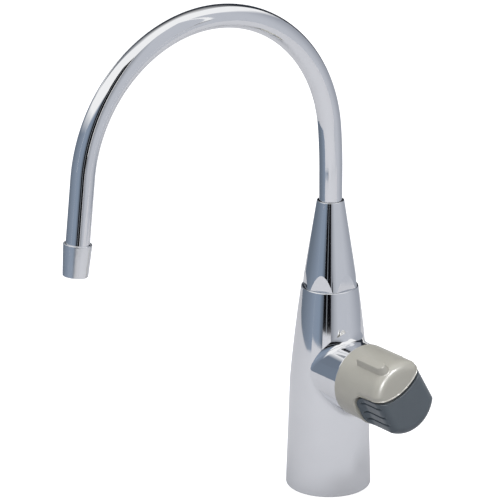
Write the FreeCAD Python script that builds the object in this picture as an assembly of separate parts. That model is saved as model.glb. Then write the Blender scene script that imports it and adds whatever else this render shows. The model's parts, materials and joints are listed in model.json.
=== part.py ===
import FreeCAD, Part
import math
import os

V = FreeCAD.Vector
ORIGIN = V(0, 0, 0)
ALONG = V(1, 0, 0)
ACROSS = V(0, 1, 0)
UP = V(0, 0, 1)

# Water filter tap, millimetres. The origin is the centre of the base on the worktop, the spout points
# to -Y and the valve branch with its knob to +X.

# Fits between pieces
RUNNING = 0.05
THREAD_FIT = 0.1
SEAL_FIT = 0.05
FACE_GAP = 0.1

# Column of the body
BASE_R = 25.0
BASE_EDGE = 1.2
WAIST_R = 22.9
WAIST_Z = 66.0
TOP_R = 16.6
TOP_Z = 123.4
TOP_EDGE = 0.8
SHOULDER_BOW = 0.4
NECK_R = 11.5
NECK_H = 16.6
SOCKET_R = 9.4
SOCKET_DEPTH = 36.0

# Valve branch of the body
BRANCH_Z = 74.2
BRANCH_R = 20.5
BRANCH_END = 31.0
BRANCH_EDGE = 0.6
BRANCH_BLEND = 6.0
CHAMBER_R = 12.2
SEAT_X = 12.0
WATERWAY_R = 4.0
PASSAGE_R = 3.0
PASSAGE_X = 20.0

# Fastening through the worktop
SHANK_R = 8.0
SHANK_SCREWED_IN = 14.0
SHANK_BELOW = 50.0
INLET_R = 6.0
INLET_LENGTH = 16.0
INLET_LEAD = 1.0
WORKTOP = 30.0
GASKET_IN_R = 17.0
GASKET_OUT_R = 22.0
GASKET_T = 2.0
CLAMP_R = 20.0
CLAMP_HOLE_R = 8.4
DECK_SEAL_T = 3.0
CLAMP_WASHER_T = 1.5
LOCK_NUT_FLATS = 24.0
LOCK_NUT_H = 10.0

# Conical collar over the neck
COLLAR_FOOT_R = 16.1
COLLAR_TIP_R = 7.9
COLLAR_H = 51.75
COLLAR_LIP = 0.5
COLLAR_FLATS = 29.1
COLLAR_TURN = 32.0
COLLAR_TIP_GAP = 0.45
COLLAR_SHOULDER = 4.4
BUSH_R = 8.5
BUSH_H = 10.0
BUSH_BELOW_TIP = 15.0

# Spout
TUBE_R = 6.67
TUBE_WALL = 1.0
RISER_TOP = 192.4
EASE_R = 300.0
EASE_SWEEP = 5.0
BEND_R = 85.3
BEND_SWEEP = 168.7
TAIL_TO_RIM = 37.4
SPIGOT_FOOT_GAP = 1.0
SPIGOT_LIP = 2.0
FLANGE_R = 10.6
FLANGE_H = 2.5
SWIVEL_WASHER_T = 1.5
RING_SECTION_R = 0.85
RING_GROOVE_W = 2.3
SPIGOT_RINGS = (10.0, 24.0)

# Nozzle at the spout's end
NOZZLE_RIM_R = 8.2
NOZZLE_TIP_R = 7.1
NOZZLE_LENGTH = 17.1
NOZZLE_RIM_BAND = 1.2
NOZZLE_GRIP = 8.0
NOZZLE_BORE_R = 5.4
NOZZLE_SEAL_T = 1.2
NOZZLE_SEAL_R = 4.6
SCREEN_T = 0.6
SCREEN_HOLE_R = 0.5
SCREEN_PITCH = 1.7
SCREEN_LEDGE = 0.6
VANE_RING_T = 0.8
VANE_T = 0.7
VANE_DEPTH = 4.0
VANES = 3

# Ceramic valve in the branch
SEAT_SEAL_T = 1.2
SEAT_SEAL_IN_R = 5.0
DISC_R = 8.7
DISC_T = 3.0
PORT_IN_R = 2.2
PORT_OUT_R = 7.2
PORT_ANGLE = 78.0
BLADE_W = 3.0
BLADE_H = 1.6
FOOT_T = 3.0
SPINDLE_R = 5.0
THRUST_T = 1.0
HOUSING_WALL = 2.0
HOUSING_HEX_FLATS = 24.0
HOUSING_HEX_T = 5.0
HOUSING_THREAD = 7.0
HOUSING_NECK_R = 8.0
HOUSING_NECK_H = 7.0
WINDOW_W = 8.0
CLIP_T = 1.0
CLIP_R = 7.2
CLIP_GROOVE = 0.8
SPINDLE_SEAL_INSET = 4.0
SPLINE_TEETH = 12
SPLINE_R = 3.9
SPLINE_ROOT_R = 3.3
SPLINE_LENGTH = 11.0
SPLINE_SETBACK = 2.0

# Knob
KNOB_GAP = 0.3
KNOB_R = 21.25
KNOB_LENGTH = 39.0
KNOB_EDGE = 3.0
KNOB_REAR_EDGE = 0.5
KNOB_TURN = 27.0
FRONT_LEAN = 7.0
FLAT_W = 16.9
FLAT_REAR = 22.8
FLAT_SHOULDER_R = 4.5
RIB_REAR = 12.8
RIB_FRONT = 33.4
RIB_SIDE = -1.8
RIB_W = 6.0
RIB_H = 2.9
RIB_EDGE = 1.0
SKIRT_WALL = 2.6
SKIRT_DEPTH = 15.5
HUB_R = 7.5
SCREW_WEB = 2.5
SCREW_R = 2.0
SCREW_LENGTH = 10.0
SCREW_HEAD_R = 3.5
SCREW_HEAD_H = 2.4
SCREW_WASHER_T = 0.8
SCREW_ACCESS_R = 4.2

# Soft pad on the knob
GRIP_T = 2.6
GRIP_REAR = 18.2
GRIP_TOP = 9.5
GRIP_CORNER = 3.5
SMILE_LOW = 4.8
SEAM = 0.9
GROOVES = (4.4, -2.1, -7.5)
GROOVE_R = 0.8
GROOVE_SUNK = 0.6
GROOVE_START = 20.7

# Stations worked out from the sizes above
NECK_TOP = TOP_Z + NECK_H
SOCKET_FLOOR = NECK_TOP - SOCKET_DEPTH
FLANGE_TOP = NECK_TOP + FLANGE_H
SHOULDER_Z = NECK_TOP + COLLAR_SHOULDER
COLLAR_TIP_Z = TOP_Z + COLLAR_H
BUSH_TOP = COLLAR_TIP_Z - BUSH_BELOW_TIP
SPIGOT_FOOT = SOCKET_FLOOR + SPIGOT_FOOT_GAP
TUBE_FOOT = SPIGOT_FOOT + SPIGOT_LIP
DISC_X = SEAT_X + SEAT_SEAL_T
MOVING_X = DISC_X + DISC_T + FACE_GAP / 2
FOOT_X = MOVING_X + DISC_T + FACE_GAP / 2
THRUST_X = FOOT_X + FOOT_T + FACE_GAP / 2
STEP_X = THRUST_X + THRUST_T
HEX_END = BRANCH_END + HOUSING_HEX_T
NECK_END = HEX_END + HOUSING_NECK_H
CLIP_X = NECK_END + FACE_GAP
SPLINE_X = CLIP_X + CLIP_T + SPLINE_SETBACK
SPINDLE_END = SPLINE_X + SPLINE_LENGTH
WEB_X = SPINDLE_END + FACE_GAP
KNOB_X = BRANCH_END + KNOB_GAP
KNOB_FRONT = KNOB_X + KNOB_LENGTH


def ring(inner, outer, low, high):
    """Plain ring about Z between two heights."""
    solid = Part.makeCylinder(outer, high - low, V(0, 0, low))
    return solid.cut(Part.makeCylinder(inner, high - low, V(0, 0, low)))


def turned(corners):
    """Solid of revolution about Z from (radius, height) corners."""
    points = [V(r, 0, z) for r, z in corners]
    face = Part.Face(Part.makePolygon(points + points[:1]))
    return face.revolve(ORIGIN, UP, 360)


def prism(corners, low, high):
    """Upright prism on (x, y) corners."""
    points = [V(x, y, low) for x, y in corners]
    return Part.Face(Part.makePolygon(points + points[:1])).extrude(V(0, 0, high - low))


def hexagon(flats, low, high):
    """Hexagonal prism about Z by its width across flats."""
    reach = flats / math.sqrt(3)
    turns = [math.radians(60 * k) for k in range(6)]
    return prism([(reach * math.cos(a), reach * math.sin(a)) for a in turns], low, high)


def on_branch(solid):
    """Moves a solid made about Z onto the branch's axis, with its heights along +X."""
    placed = solid.copy()
    placed.rotate(ORIGIN, ACROSS, 90)
    placed.translate(V(0, 0, BRANCH_Z))
    return placed


def past_bend(point, lean, radius, sweep):
    """Centre of a bend towards -Y that starts at a point with this lean, and the point where it ends."""
    centre = point + V(0, -math.cos(lean), -math.sin(lean)) * radius
    return centre, centre + V(0, math.cos(lean + sweep), math.sin(lean + sweep)) * radius


def spout_bends():
    """Start, lean, centre and sweep of the spout's two bends, then the end point and the lean there."""
    ease, sweep = math.radians(EASE_SWEEP), math.radians(BEND_SWEEP)
    start = V(0, 0, RISER_TOP)
    ease_centre, middle = past_bend(start, 0, EASE_R, ease)
    bend_centre, end = past_bend(middle, ease, BEND_R, sweep)
    bends = [(start, 0, ease_centre, EASE_SWEEP), (middle, ease, bend_centre, BEND_SWEEP)]
    return bends, end, ease + sweep


def along_spout(lean):
    """Direction of the spout where it has turned by this angle."""
    return V(0, -math.sin(lean), math.cos(lean))


def at_spout_end(solid):
    """Moves a solid made about Z, rim at 0 and tip at +Z, onto the spout's end."""
    bends, end, lean = spout_bends()
    heading = along_spout(lean)
    placed = solid.copy()
    placed.Placement = FreeCAD.Placement(end + heading * TAIL_TO_RIM, FreeCAD.Rotation(UP, heading))
    return placed


def circle_edges(solid, radius, height):
    """Edges of a solid that are circles about Z with this radius and height."""
    found = []
    for edge in solid.Edges:
        curve = edge.Curve
        if curve.TypeId == "Part::GeomCircle":
            if abs(curve.Radius - radius) < 1e-4 and abs(curve.Center.z - height) < 1e-4:
                found.append(edge)
    return found


def column():
    """Tapering round column: straight lower taper, bowed shoulder, ledge and neck."""
    waist = V(WAIST_R, 0, WAIST_Z)
    top = V(TOP_R, 0, TOP_Z)
    chord = top - waist
    bow = V(chord.z, 0, -chord.x).normalize() * SHOULDER_BOW
    shoulder = Part.Arc(waist, (waist + top) * 0.5 + bow, top).toShape()
    lower = Part.makePolygon([V(0, 0, NECK_TOP), ORIGIN, V(BASE_R, 0, 0), waist])
    upper = Part.makePolygon([top, V(NECK_R, 0, TOP_Z), V(NECK_R, 0, NECK_TOP), V(0, 0, NECK_TOP)])
    outline = Part.Wire(lower.Edges + [shoulder] + upper.Edges)
    solid = Part.Face(outline).revolve(ORIGIN, UP, 360)
    solid = solid.makeFillet(BASE_EDGE, circle_edges(solid, BASE_R, 0))
    return solid.makeFillet(TOP_EDGE, circle_edges(solid, TOP_R, TOP_Z))


def blend_edges(solid):
    """Edges where the branch's wall meets the column."""
    axis = V(0, 0, BRANCH_Z)
    found = []
    for edge in solid.Edges:
        middle = edge.valueAt((edge.FirstParameter + edge.LastParameter) / 2)
        from_axis = V(0, middle.y, middle.z) - axis
        on_wall = abs(from_axis.Length - BRANCH_R) < 1e-3
        straight = edge.Curve.TypeId == "Part::GeomLine"
        if on_wall and not straight and middle.x < BRANCH_END - BRANCH_BLEND / 2:
            found.append(edge)
    return found


def waterways():
    """Bores inside the body: shank socket, inlet, valve chamber, outlet passage and spout socket."""
    shank_socket = Part.makeCylinder(SHANK_R + THREAD_FIT, SHANK_SCREWED_IN, ORIGIN)
    inlet = Part.makeCylinder(WATERWAY_R, BRANCH_Z, ORIGIN)
    seat_hole = Part.makeCylinder(WATERWAY_R, SEAT_X, V(0, 0, BRANCH_Z), ALONG)
    chamber = Part.makeCylinder(CHAMBER_R, BRANCH_END - SEAT_X, V(SEAT_X, 0, BRANCH_Z), ALONG)
    start = V(PASSAGE_X, 0, BRANCH_Z)
    rise = V(0, 0, SOCKET_FLOOR + PASSAGE_R) - start
    passage = Part.makeCylinder(PASSAGE_R, rise.Length, start, rise)
    socket = Part.makeCylinder(SOCKET_R, SOCKET_DEPTH, V(0, 0, SOCKET_FLOOR))
    gasket_seat = ring(GASKET_IN_R - FACE_GAP, GASKET_OUT_R + FACE_GAP, 0, GASKET_T)
    return [shank_socket, inlet, seat_hole, chamber, passage, socket, gasket_seat]


def body():
    branch = Part.makeCylinder(BRANCH_R, BRANCH_END, V(0, 0, BRANCH_Z), ALONG)
    branch = branch.makeChamfer(BRANCH_EDGE, [e for e in branch.Edges if e.BoundBox.XMin > BRANCH_END / 2])
    solid = column().fuse(branch)
    solid = solid.makeFillet(BRANCH_BLEND, blend_edges(solid))
    for bore in waterways():
        solid = solid.cut(bore)
    return solid


def base_gasket():
    return ring(GASKET_IN_R, GASKET_OUT_R, 0, GASKET_T)


def mounting_shank():
    """Threaded shank with a slimmer plain inlet end."""
    foot = -SHANK_BELOW
    end = foot - INLET_LENGTH
    outer = turned([(0, SHANK_SCREWED_IN), (SHANK_R, SHANK_SCREWED_IN), (SHANK_R, foot), (INLET_R, foot),
                    (INLET_R, end + INLET_LEAD), (INLET_R - INLET_LEAD, end), (0, end)])
    return outer.cut(Part.makeCylinder(WATERWAY_R, SHANK_SCREWED_IN - end, V(0, 0, end)))


def deck_seal():
    return ring(CLAMP_HOLE_R, CLAMP_R, -WORKTOP - DECK_SEAL_T, -WORKTOP)


def clamp_washer():
    top = -WORKTOP - DECK_SEAL_T
    return ring(CLAMP_HOLE_R, CLAMP_R, top - CLAMP_WASHER_T, top)


def lock_nut():
    top = -WORKTOP - DECK_SEAL_T - CLAMP_WASHER_T
    nut = hexagon(LOCK_NUT_FLATS, top - LOCK_NUT_H, top)
    return nut.cut(Part.makeCylinder(SHANK_R + THREAD_FIT, LOCK_NUT_H, V(0, 0, top - LOCK_NUT_H)))


def spout_collar():
    """Cone with spanner flats round its threaded foot, a shoulder over the swivel and a bush bore below the tip."""
    thread_r = NECK_R + THREAD_FIT
    bush_bore = BUSH_R + SEAL_FIT
    tip_bore = TUBE_R + COLLAR_TIP_GAP
    cone = turned([(thread_r, TOP_Z), (COLLAR_FOOT_R, TOP_Z), (COLLAR_TIP_R, COLLAR_TIP_Z),
                   (tip_bore, COLLAR_TIP_Z), (tip_bore, BUSH_TOP), (bush_bore, BUSH_TOP),
                   (bush_bore, SHOULDER_Z), (thread_r, SHOULDER_Z)])
    cone = cone.makeFillet(COLLAR_LIP, circle_edges(cone, COLLAR_TIP_R, COLLAR_TIP_Z))
    flats = hexagon(COLLAR_FLATS, TOP_Z, COLLAR_TIP_Z)
    flats.rotate(ORIGIN, UP, COLLAR_TURN)
    return cone.common(flats)


def guide_bush():
    return ring(TUBE_R + RUNNING, BUSH_R, BUSH_TOP - BUSH_H, BUSH_TOP)


def swivel_washer():
    top = SHOULDER_Z
    return ring(TUBE_R + FACE_GAP + COLLAR_TIP_GAP, FLANGE_R, top - SWIVEL_WASHER_T, top)


def spout_path_solid(radius, start, tail_length):
    """Round bar along the spout: straight riser, easing bend, main bend towards -Y and straight tail."""
    solid = Part.makeCylinder(radius, RISER_TOP - start, V(0, 0, start))
    bends, end, lean = spout_bends()
    for point, bend_lean, centre, sweep in bends:
        disc = Part.Face(Part.Wire(Part.makeCircle(radius, point, along_spout(bend_lean))))
        solid = solid.fuse(disc.revolve(centre, ALONG, sweep))
    tail = Part.makeCylinder(radius, tail_length, end, along_spout(lean))
    return solid.fuse(tail).removeSplitter()


def spout_tube():
    length = TAIL_TO_RIM + NOZZLE_GRIP
    bore = spout_path_solid(TUBE_R - TUBE_WALL, TUBE_FOOT, length)
    return spout_path_solid(TUBE_R, TUBE_FOOT, length).cut(bore)


def seal_groove(reach, station):
    """Groove for a round-section ring whose outside stands at the reach."""
    floor = reach - 2 * RING_SECTION_R - SEAL_FIT
    return ring(floor, reach + RING_SECTION_R, station - RING_GROOVE_W / 2, station + RING_GROOVE_W / 2)


def seal_ring(reach, station):
    """Round-section ring whose outside stands at the reach."""
    return Part.makeTorus(reach - RING_SECTION_R, RING_SECTION_R, V(0, 0, station))


def spout_spigot():
    """Sleeve on the tube's foot with two ring grooves and the flange that rests on the neck."""
    outer = SOCKET_R - RUNNING
    bore = TUBE_R + SEAL_FIT
    solid = turned([(TUBE_R - TUBE_WALL, SPIGOT_FOOT), (outer, SPIGOT_FOOT), (outer, NECK_TOP),
                    (FLANGE_R, NECK_TOP), (FLANGE_R, FLANGE_TOP), (bore, FLANGE_TOP), (bore, TUBE_FOOT),
                    (TUBE_R - TUBE_WALL, TUBE_FOOT)])
    for height in SPIGOT_RINGS:
        solid = solid.cut(seal_groove(SOCKET_R - SEAL_FIT, SPIGOT_FOOT + height))
    return solid


def spigot_seals():
    return Part.makeCompound([seal_ring(SOCKET_R - SEAL_FIT, SPIGOT_FOOT + h) for h in SPIGOT_RINGS])


def nozzle_cap():
    """Tapering tip with a proud rim, a socket for the tube and a bore with a ledge for the screen."""
    socket = TUBE_R + SEAL_FIT
    taper = (NOZZLE_RIM_R - NOZZLE_TIP_R) / NOZZLE_LENGTH
    ledge = NOZZLE_GRIP + NOZZLE_SEAL_T
    solid = turned([(socket, 0), (NOZZLE_RIM_R - taper * NOZZLE_RIM_BAND / 2, 0),
                    (NOZZLE_RIM_R, NOZZLE_RIM_BAND / 2),
                    (NOZZLE_RIM_R - taper * NOZZLE_RIM_BAND, NOZZLE_RIM_BAND),
                    (NOZZLE_TIP_R, NOZZLE_LENGTH), (NOZZLE_BORE_R, NOZZLE_LENGTH),
                    (NOZZLE_BORE_R, ledge + SCREEN_T), (socket, ledge + SCREEN_T)])
    return at_spout_end(solid)


def nozzle_seal():
    return at_spout_end(ring(NOZZLE_SEAL_R, TUBE_R, NOZZLE_GRIP, NOZZLE_GRIP + NOZZLE_SEAL_T))


def nozzle_screen():
    """Thin disc with a hexagonal field of holes."""
    low = NOZZLE_GRIP + NOZZLE_SEAL_T
    solid = Part.makeCylinder(NOZZLE_BORE_R + SCREEN_LEDGE, SCREEN_T, V(0, 0, low))
    field = NOZZLE_SEAL_R - SCREEN_HOLE_R
    rows = int(field / SCREEN_PITCH) + 1
    holes = []
    for row in range(-rows, rows + 1):
        for column_index in range(-2 * rows, 2 * rows + 1):
            x = SCREEN_PITCH * (column_index + row / 2)
            y = SCREEN_PITCH * row * math.sqrt(3) / 2
            if math.hypot(x, y) < field:
                holes.append(Part.makeCylinder(SCREEN_HOLE_R, SCREEN_T, V(x, y, low)))
    return at_spout_end(solid.cut(Part.makeCompound(holes)))


def flow_straightener():
    """Short ring with crossed vanes below the screen."""
    low = NOZZLE_GRIP + NOZZLE_SEAL_T + SCREEN_T
    outer = NOZZLE_BORE_R - SEAL_FIT
    inner = outer - VANE_RING_T
    solid = ring(inner, outer, low, low + VANE_DEPTH)
    for k in range(VANES):
        vane = Part.makeBox(2 * inner + VANE_RING_T, VANE_T, VANE_DEPTH)
        vane.translate(V(-inner - VANE_RING_T / 2, -VANE_T / 2, low))
        vane.rotate(ORIGIN, UP, 180 * k / VANES)
        solid = solid.fuse(vane)
    return at_spout_end(solid.removeSplitter())


def ports(low, high, turn):
    """Two opposite sector openings of a valve disc."""
    sectors = []
    for side in (0, 180):
        sector = ring(PORT_IN_R, PORT_OUT_R, low, high)
        wedge = Part.makeCylinder(PORT_OUT_R + DISC_R, high - low, V(0, 0, low), UP, PORT_ANGLE)
        wedge.rotate(ORIGIN, UP, turn + side - PORT_ANGLE / 2)
        sectors.append(sector.common(wedge))
    return sectors


def seat_seal():
    return on_branch(ring(SEAT_SEAL_IN_R, DISC_R, SEAT_X, DISC_X))


def fixed_disc():
    disc = Part.makeCylinder(DISC_R, DISC_T, V(0, 0, DISC_X))
    for port in ports(DISC_X, DISC_X + DISC_T, 0):
        disc = disc.cut(port)
    return on_branch(disc)


def drive_blade(width, low, high):
    """Bar across the spindle's foot that turns the moving disc."""
    bar = Part.makeBox(2 * DISC_R, width, high - low, V(-DISC_R, -width / 2, low))
    return bar.common(Part.makeCylinder(DISC_R, high - low, V(0, 0, low)))


def moving_disc():
    top = MOVING_X + DISC_T
    disc = Part.makeCylinder(DISC_R, DISC_T, V(0, 0, MOVING_X))
    for port in ports(MOVING_X, top, 90):
        disc = disc.cut(port)
    return on_branch(disc.cut(drive_blade(BLADE_W + FACE_GAP, top - BLADE_H - FACE_GAP, top)))


def spline_profile(fit, low, high):
    """Toothed prism: corners alternate between the tip and the root radius."""
    corners = []
    for k in range(2 * SPLINE_TEETH):
        radius = (SPLINE_R if k % 2 == 0 else SPLINE_ROOT_R) + fit
        angle = math.pi * k / SPLINE_TEETH
        corners.append((radius * math.cos(angle), radius * math.sin(angle)))
    return prism(corners, low, high)


def spindle():
    """Foot with a drive blade, round shaft with seal and clip grooves, splined end with a tapped hole."""
    foot_low = FOOT_X
    solid = turned([(0, foot_low), (DISC_R, foot_low), (DISC_R, foot_low + FOOT_T),
                    (SPINDLE_R, foot_low + FOOT_T), (SPINDLE_R, SPLINE_X), (0, SPLINE_X)])
    solid = solid.fuse([drive_blade(BLADE_W, FOOT_X - BLADE_H, FOOT_X),
                        spline_profile(0, SPLINE_X, SPINDLE_END)]).removeSplitter()
    solid = solid.cut(seal_groove(SPINDLE_R, HEX_END - SPINDLE_SEAL_INSET))
    solid = solid.cut(ring(SPINDLE_R - CLIP_GROOVE, SPINDLE_R + CLIP_GROOVE, CLIP_X, CLIP_X + CLIP_T))
    hole = Part.makeCylinder(SCREW_R + FACE_GAP / 2, SCREW_LENGTH, V(0, 0, SPINDLE_END - SCREW_LENGTH))
    return on_branch(solid.cut(hole))


def spindle_seal():
    return on_branch(seal_ring(SPINDLE_R, HEX_END - SPINDLE_SEAL_INSET))


def spindle_clip():
    """Split spring ring in the spindle's outer groove."""
    low = CLIP_X + FACE_GAP / 4
    high = CLIP_X + CLIP_T - FACE_GAP / 4
    clip = ring(SPINDLE_R - CLIP_GROOVE + SEAL_FIT, CLIP_R, low, high)
    slot = Part.makeBox(CLIP_R, SPINDLE_R, CLIP_T, V(0, -SPINDLE_R / 2, CLIP_X))
    return on_branch(clip.cut(slot))


def thrust_washer():
    return on_branch(ring(SPINDLE_R + RUNNING, DISC_R, THRUST_X, STEP_X))


def valve_housing():
    """Turned housing: windowed nose round the discs, threaded collar, hexagon and neck."""
    bore = DISC_R + RUNNING
    nose = bore + HOUSING_WALL
    thread_r = CHAMBER_R - THREAD_FIT
    thread_x = BRANCH_END - HOUSING_THREAD
    shaft = SPINDLE_R + RUNNING
    solid = turned([(bore, DISC_X), (nose, DISC_X), (nose, thread_x), (thread_r, thread_x),
                    (thread_r, BRANCH_END), (HOUSING_NECK_R, BRANCH_END), (HOUSING_NECK_R, NECK_END),
                    (shaft, NECK_END), (shaft, STEP_X), (bore, STEP_X)])
    hexed = hexagon(HOUSING_HEX_FLATS, BRANCH_END, HEX_END)
    hexed = hexed.cut(Part.makeCylinder(HOUSING_NECK_R, HOUSING_HEX_T, V(0, 0, BRANCH_END)))
    flange = ring(HOUSING_NECK_R, CHAMBER_R + HOUSING_WALL, BRANCH_END, BRANCH_END + HOUSING_WALL)
    solid = solid.fuse([hexed, flange]).removeSplitter()
    window = Part.makeBox(4 * nose, WINDOW_W, DISC_T + FOOT_T, V(-2 * nose, -WINDOW_W / 2, MOVING_X))
    solid = solid.cut(window.common(ring(bore, 2 * nose, MOVING_X, MOVING_X + DISC_T + FOOT_T)))
    return on_branch(solid.cut(seal_groove(thread_r, BRANCH_END - HOUSING_THREAD / 2)))


def housing_seal():
    return on_branch(seal_ring(CHAMBER_R - THREAD_FIT, BRANCH_END - HOUSING_THREAD / 2))


def front_normal():
    """Direction square to the knob's front, which leans back at the top."""
    lean = math.radians(FRONT_LEAN)
    return V(math.cos(lean), 0, math.sin(lean))


def side_cut(side, inset):
    """Material taken off one side of the knob: a flat along the axis that starts with a hollow shoulder."""
    near = side * (FLAT_W - inset)
    hollow = FLAT_SHOULDER_R + inset
    away = side * 2 * KNOB_R
    start = KNOB_X + FLAT_REAR
    end = KNOB_FRONT + KNOB_R
    diagonal = hollow * math.sqrt(0.5)
    shoulder = Part.Arc(V(start - hollow, near + side * hollow, -away),
                        V(start - diagonal, near + side * (hollow - diagonal), -away), V(start, near, -away))
    rest = Part.makePolygon([V(start, near, -away), V(end, near, -away), V(end, away, -away),
                             V(start - hollow, away, -away), V(start - hollow, near + side * hollow, -away)])
    return Part.Face(Part.Wire([shoulder.toShape()] + rest.Edges)).extrude(V(0, 0, 2 * away))


def knob_form(inset):
    """Barrel along +X between two side flats with a leaning front, all walls moved in by the inset."""
    reach = 2 * KNOB_LENGTH
    barrel = Part.makeCylinder(KNOB_R - inset, reach, V(KNOB_X, 0, 0), ALONG)
    for side in (1, -1):
        barrel = barrel.cut(side_cut(side, inset))
    beyond = Part.makeBox(reach, reach, reach, V(0, -reach / 2, -reach / 2))
    beyond.rotate(ORIGIN, ACROSS, -FRONT_LEAN)
    beyond.translate(V(KNOB_FRONT, 0, 0) - front_normal() * inset)
    return barrel.cut(beyond)


def rounded_knob():
    """Knob form with its front rim rounded."""
    solid = knob_form(0)
    level = front_normal().dot(V(KNOB_FRONT, 0, 0))
    rim = [e for e in solid.Edges if all(abs(front_normal().dot(v.Point) - level) < 1e-4 for v in e.Vertexes)]
    return solid.makeFillet(KNOB_EDGE, rim)


def grip_region(gap):
    """Space of the soft pad: below the smile line and ahead of the pad's rear edge, drawn in by the gap."""
    half = FLAT_W
    wide = 2 * KNOB_R
    top = GRIP_TOP - gap
    low = SMILE_LOW - gap
    smile = Part.Arc(V(0, -half, top), V(0, 0, low), V(0, half, top)).toShape()
    rest = Part.makePolygon([V(0, half, top), V(0, wide, top), V(0, wide, -wide), V(0, -wide, -wide),
                             V(0, -wide, top), V(0, -half, top)])
    under_smile = Part.Face(Part.Wire([smile] + rest.Edges)).extrude(V(2 * KNOB_FRONT, 0, 0))
    rear = KNOB_X + GRIP_REAR + gap
    height = top + wide
    ahead = Part.makeBox(2 * KNOB_FRONT, 2 * wide, height, V(rear, -wide, -wide))
    corner = [e for e in ahead.Edges if e.BoundBox.ZMin > top - 1e-3 and e.BoundBox.XMax < rear + 1e-3]
    return under_smile.common(ahead.makeFillet(GRIP_CORNER, corner))


def turned_knob(solid):
    """Turns a knob piece from rib-up to its closed position and sets it on the branch's axis."""
    placed = solid.copy()
    placed.rotate(ORIGIN, ALONG, KNOB_TURN)
    placed.translate(V(0, 0, BRANCH_Z))
    return placed


def pointer_rib():
    """Raised bar along the top of the knob with a round front end."""
    rear = KNOB_X + RIB_REAR
    centre = KNOB_X + RIB_FRONT - RIB_W / 2
    half = RIB_W / 2
    outline = [Part.makePolygon([V(centre, half, 0), V(rear, half, 0), V(rear, -half, 0), V(centre, -half, 0)]),
               Part.Arc(V(centre, -half, 0), V(centre + half, 0, 0), V(centre, half, 0)).toShape()]
    face = Part.Face(Part.Wire(outline[0].Edges + [outline[1]]))
    face.translate(V(0, RIB_SIDE, KNOB_R - SKIRT_WALL))
    bar = face.extrude(V(0, 0, SKIRT_WALL + RIB_H))
    top = [e for e in bar.Edges if e.BoundBox.ZMin > KNOB_R]
    return bar.makeFillet(RIB_EDGE, top)


def knob_cap():
    """Hard shell of the knob with its rib, its hub on the spindle and the recess for the soft pad."""
    shell = rounded_knob()
    rear = [e for e in shell.Edges if e.BoundBox.XMax < KNOB_X + 1e-3]
    shell = shell.makeChamfer(KNOB_REAR_EDGE, rear)
    shell = shell.cut(grip_region(0).cut(knob_form(GRIP_T)))
    shell = shell.fuse(pointer_rib())
    hollow = Part.makeCylinder(KNOB_R - SKIRT_WALL, SKIRT_DEPTH, V(KNOB_X, 0, 0), ALONG)
    hub_start = KNOB_X + SKIRT_DEPTH
    hub_hollow = ring(HUB_R, FLAT_W - GRIP_T - SKIRT_WALL, hub_start, WEB_X)
    hub_hollow.rotate(ORIGIN, ACROSS, 90)
    shell = shell.cut(hollow).cut(hub_hollow)
    access_x = WEB_X + SCREW_WEB
    screw_hole = Part.makeCylinder(SCREW_R + FACE_GAP, KNOB_FRONT - WEB_X, V(WEB_X, 0, 0), ALONG)
    access = Part.makeCylinder(SCREW_ACCESS_R, KNOB_FRONT - access_x, V(access_x, 0, 0), ALONG)
    shell = turned_knob(shell.cut(screw_hole).cut(access))
    return shell.cut(on_branch(spline_profile(FACE_GAP / 2, KNOB_X, WEB_X)))


def groove_tool(side, height):
    """Bar along a side flat, sunk a little into it, with a round rear end. It runs out over the front rim."""
    start = V(KNOB_X + GROOVE_START, side * (FLAT_W - GROOVE_SUNK + GROOVE_R), height)
    bar = Part.makeCylinder(GROOVE_R, KNOB_LENGTH, start, ALONG)
    return bar.fuse(Part.makeSphere(GROOVE_R, start))


def knob_grip():
    """Soft pad over the knob's lower front, flush with the shell, with grooves on both side flats."""
    pad = rounded_knob().cut(knob_form(GRIP_T)).common(grip_region(SEAM))
    for side in (1, -1):
        for height in GROOVES:
            pad = pad.cut(groove_tool(side, height))
    return turned_knob(pad)


def screw_washer():
    low = WEB_X + SCREW_WEB
    return on_branch(ring(SCREW_R + FACE_GAP, SCREW_HEAD_R, low, low + SCREW_WASHER_T))


def knob_screw():
    """Pan-head screw through the knob's web into the spindle."""
    under = WEB_X + SCREW_WEB + SCREW_WASHER_T
    shank_end = SPINDLE_END - SCREW_LENGTH + FACE_GAP
    solid = turned([(0, shank_end), (SCREW_R, shank_end), (SCREW_R, under), (SCREW_HEAD_R, under),
                    (SCREW_HEAD_R, under + SCREW_HEAD_H / 2), (SCREW_HEAD_R * 0.7, under + SCREW_HEAD_H),
                    (0, under + SCREW_HEAD_H)])
    slot = Part.makeBox(2 * SCREW_HEAD_R, FACE_GAP * 8, SCREW_HEAD_H / 2)
    slot.translate(V(-SCREW_HEAD_R, -FACE_GAP * 4, under + SCREW_HEAD_H / 2))
    return on_branch(solid.cut(slot))


PIECES = [body, base_gasket, mounting_shank, deck_seal, clamp_washer, lock_nut, spout_collar, guide_bush,
          swivel_washer, spout_tube, spout_spigot, spigot_seals, nozzle_cap, nozzle_seal, nozzle_screen,
          flow_straightener, seat_seal, fixed_disc, moving_disc, spindle, spindle_seal, spindle_clip,
          thrust_washer, valve_housing, housing_seal, knob_cap, knob_grip, screw_washer, knob_screw]

os.makedirs("parts", exist_ok=True)
for piece in PIECES:
    piece().exportStep("parts/" + piece.__name__ + ".step")
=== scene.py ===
import bmesh
import bpy
import json
import math
import numpy as np
from mathutils import Matrix, Vector


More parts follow.
